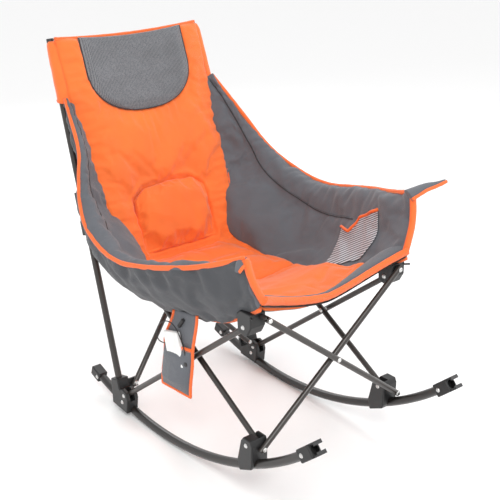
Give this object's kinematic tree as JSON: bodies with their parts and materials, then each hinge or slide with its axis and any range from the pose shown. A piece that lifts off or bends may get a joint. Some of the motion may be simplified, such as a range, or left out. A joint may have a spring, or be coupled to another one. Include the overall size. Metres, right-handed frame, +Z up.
{
  "type": "folding camp rocking chair",
  "caption": "Folding camp rocking chair with a padded bucket seat, crossed steel tubes on curved rails, a mesh headrest and a heater pocket.",
  "frame": {"origin": "on the floor, under the middle of the chair's bounding box", "axes": "+X to the sitter's left, +Y to the rear, +Z up"},
  "size_m": [0.752, 1.1828, 1.0903],
  "materials": {
    "powder_coated_steel": "satin powder coat",
    "black_plastic": "fine moulded grain",
    "rivet_steel": "bright",
    "orange_fabric": "woven polyester",
    "grey_fabric": "woven polyester",
    "headrest_mesh": "spacer mesh",
    "pocket_mesh": "open mesh",
    "heating_film": "carbon film",
    "white_plastic": "gloss",
    "cable_black": "matte"
  },
  "bodies": {
    "sling": {"back_liner": "grey_fabric", "back_heating_film": "heating_film", "back_pad": "orange_fabric", "headrest_mesh": "headrest_mesh", "lumbar_pad": "orange_fabric", "seat_pad": "orange_fabric", "seat_heating_film": "heating_film"},
    "seat_front": {"front_pad": "orange_fabric", "front_hem": "orange_fabric"},
    "pocket": {"side_pocket": "grey_fabric", "power_bank": "white_plastic", "bank_plug": "cable_black", "lead_connector": "cable_black", "lead_gland": "cable_black", "heater_lead": "cable_black"},
    "post_r": {"rocker_rail_r": "powder_coated_steel", "rail_rear_cap_r": "black_plastic", "rail_front_stop_r": "black_plastic", "rear_post_r": "powder_coated_steel", "post_plug_r": "black_plastic", "rear_housing_r": "black_plastic", "rear_rivets_r": "rivet_steel", "shoulder_r": "grey_fabric"},
    "arm_r": {"side_arm_r": "powder_coated_steel"},
    "link_r": {"side_link_r": "powder_coated_steel", "side_link_rivets_r": "rivet_steel"},
    "foot_r": {"front_foot_r": "black_plastic", "foot_rivets_r": "rivet_steel"},
    "corner_r": {"seat_corner_r": "black_plastic", "corner_rivet_r": "rivet_steel"},
    "front_cross_r": {"front_arm_r": "powder_coated_steel", "front_arm_rivets_r": "rivet_steel"},
    "back_cross_r": {"back_arm_r": "powder_coated_steel", "back_arm_rivets_r": "rivet_steel"},
    "side_collar_r": {"side_slider_r": "black_plastic"},
    "back_collar_r": {"back_slider_r": "black_plastic"},
    "wing_r": {"side_panel_r": "grey_fabric"},
    "post_l": {"rocker_rail_l": "powder_coated_steel", "rail_rear_cap_l": "black_plastic", "rail_front_stop_l": "black_plastic", "rear_post_l": "powder_coated_steel", "post_plug_l": "black_plastic", "rear_housing_l": "black_plastic", "rear_rivets_l": "rivet_steel", "shoulder_l": "grey_fabric"},
    "arm_l": {"side_arm_l": "powder_coated_steel"},
    "link_l": {"side_link_l": "powder_coated_steel", "side_link_rivets_l": "rivet_steel"},
    "foot_l": {"front_foot_l": "black_plastic", "foot_rivets_l": "rivet_steel"},
    "corner_l": {"seat_corner_l": "black_plastic", "corner_rivet_l": "rivet_steel"},
    "front_cross_l": {"front_arm_l": "powder_coated_steel", "front_arm_rivets_l": "rivet_steel"},
    "back_cross_l": {"back_arm_l": "powder_coated_steel", "back_arm_rivets_l": "rivet_steel"},
    "side_collar_l": {"side_slider_l": "black_plastic"},
    "back_collar_l": {"back_slider_l": "black_plastic"},
    "wing_l": {"side_panel_l": "grey_fabric", "mesh_pocket": "pocket_mesh"}
  },
  "joints": [
    {"name": "fold", "type": "slide", "parent": "sling", "child": "post_r", "axis": [1, 0, 0], "range_m": [0, 0.16], "deforming": ["back_liner", "back_heating_film", "back_pad", "headrest_mesh", "lumbar_pad", "seat_pad", "seat_heating_film", "front_pad", "front_hem", "side_panel_r", "side_panel_l", "shoulder_r", "shoulder_l", "mesh_pocket", "side_pocket", "heater_lead"]},
    {"name": "post_slide_l", "type": "slide", "parent": "sling", "child": "post_l", "axis": [-1, 0, 0], "range_m": [0, 0.16]},
    {"name": "side_arm_swing_r", "type": "hinge", "parent": "post_r", "child": "arm_r", "pos_m": [-0.252, 0.2482, 0.0685], "axis": [-1, 0, 0], "range_deg": [0, 41.41]},
    {"name": "side_link_swing_r", "type": "hinge", "parent": "arm_r", "child": "link_r", "pos_m": [-0.2405, -0.081, 0.3269], "axis": [1, 0, 0], "range_deg": [0, 63.86]},
    {"name": "foot_swing_r", "type": "hinge", "parent": "link_r", "child": "foot_r", "pos_m": [-0.24, -0.3302, 0.183], "axis": [-1, 0, 0], "range_deg": [0, 34.39]},
    {"name": "corner_swing_r", "type": "hinge", "parent": "arm_r", "child": "corner_r", "pos_m": [-0.246, -0.3232, 0.51701], "axis": [1, 0, 0], "range_deg": [0, 29.47]},
    {"name": "front_cross_swing_r", "type": "hinge", "parent": "foot_r", "child": "front_cross_r", "pos_m": [-0.236, -0.3622, 0.178], "axis": [0, -1, 0], "range_deg": [0, 37.23]},
    {"name": "back_cross_swing_r", "type": "hinge", "parent": "post_r", "child": "back_cross_r", "pos_m": [-0.216, 0.26773, 0.08729], "axis": [0, -0.9617, 0.274], "range_deg": [0, 31.42]},
    {"name": "side_collar_slide_r", "type": "slide", "parent": "post_r", "child": "side_collar_r", "axis": [0, 0.274, 0.9617], "range_m": [0, 0.34695]},
    {"name": "back_collar_slide_r", "type": "slide", "parent": "post_r", "child": "back_collar_r", "axis": [0, 0.274, 0.9617], "range_m": [0, 0.15301]},
    {"name": "wing_follow_r", "type": "slide", "parent": "post_r", "child": "wing_r", "axis": [0, 0.8557, 0.5175], "range_m": [0, 0.51362]},
    {"name": "side_arm_swing_l", "type": "hinge", "parent": "post_l", "child": "arm_l", "pos_m": [0.252, 0.2482, 0.0685], "axis": [-1, 0, 0], "range_deg": [0, 41.41]},
    {"name": "side_link_swing_l", "type": "hinge", "parent": "arm_l", "child": "link_l", "pos_m": [0.2405, -0.081, 0.3269], "axis": [1, 0, 0], "range_deg": [0, 63.86]},
    {"name": "foot_swing_l", "type": "hinge", "parent": "link_l", "child": "foot_l", "pos_m": [0.24, -0.3302, 0.183], "axis": [-1, 0, 0], "range_deg": [0, 34.39]},
    {"name": "corner_swing_l", "type": "hinge", "parent": "arm_l", "child": "corner_l", "pos_m": [0.246, -0.3232, 0.51701], "axis": [1, 0, 0], "range_deg": [0, 29.47]},
    {"name": "front_cross_swing_l", "type": "hinge", "parent": "foot_l", "child": "front_cross_l", "pos_m": [0.236, -0.3802, 0.178], "axis": [0, 1, 0], "range_deg": [0, 37.23]},
    {"name": "back_cross_swing_l", "type": "hinge", "parent": "post_l", "child": "back_cross_l", "pos_m": [0.216, 0.25042, 0.09223], "axis": [0, 0.9617, -0.274], "range_deg": [0, 31.42]},
    {"name": "side_collar_slide_l", "type": "slide", "parent": "post_l", "child": "side_collar_l", "axis": [0, 0.274, 0.9617], "range_m": [0, 0.34695]},
    {"name": "back_collar_slide_l", "type": "slide", "parent": "post_l", "child": "back_collar_l", "axis": [0, 0.274, 0.9617], "range_m": [0, 0.15301]},
    {"name": "wing_follow_l", "type": "slide", "parent": "post_l", "child": "wing_l", "axis": [0, 0.8557, 0.5175], "range_m": [0, 0.51362]},
    {"name": "seat_front_swing", "type": "hinge", "parent": "sling", "child": "seat_front", "pos_m": [0, 0.0118, 0.432], "axis": [-1, 0, 0], "range_deg": [0, 96]},
    {"name": "pocket_follow", "type": "slide", "parent": "post_r", "child": "pocket", "axis": [0, 0.8557, 0.5175], "range_m": [0, 0.31844]}
  ],
  "couplings": [
    {"joint": "post_slide_l", "follows": "fold", "ratio": 1},
    {"joint": "side_arm_swing_r", "follows": "fold", "rad_per_m": 4.5168},
    {"joint": "side_link_swing_r", "follows": "fold", "rad_per_m": 6.9658},
    {"joint": "foot_swing_r", "follows": "fold", "rad_per_m": 3.7516},
    {"joint": "corner_swing_r", "follows": "fold", "rad_per_m": 3.2142},
    {"joint": "front_cross_swing_r", "follows": "fold", "rad_per_m": 4.0607},
    {"joint": "back_cross_swing_r", "follows": "fold", "rad_per_m": 3.4273},
    {"joint": "side_collar_slide_r", "follows": "fold", "ratio": 2.1684},
    {"joint": "back_collar_slide_r", "follows": "fold", "ratio": 0.95632},
    {"joint": "wing_follow_r", "follows": "fold", "ratio": 3.2101},
    {"joint": "side_arm_swing_l", "follows": "fold", "rad_per_m": 4.5168},
    {"joint": "side_link_swing_l", "follows": "fold", "rad_per_m": 6.9658},
    {"joint": "foot_swing_l", "follows": "fold", "rad_per_m": 3.7516},
    {"joint": "corner_swing_l", "follows": "fold", "rad_per_m": 3.2142},
    {"joint": "front_cross_swing_l", "follows": "fold", "rad_per_m": 4.0607},
    {"joint": "back_cross_swing_l", "follows": "fold", "rad_per_m": 3.4273},
    {"joint": "side_collar_slide_l", "follows": "fold", "ratio": 2.1684},
    {"joint": "back_collar_slide_l", "follows": "fold", "ratio": 0.95632},
    {"joint": "wing_follow_l", "follows": "fold", "ratio": 3.2101},
    {"joint": "seat_front_swing", "follows": "fold", "rad_per_m": 10.472},
    {"joint": "pocket_follow", "follows": "fold", "ratio": 1.9903}
  ]
}
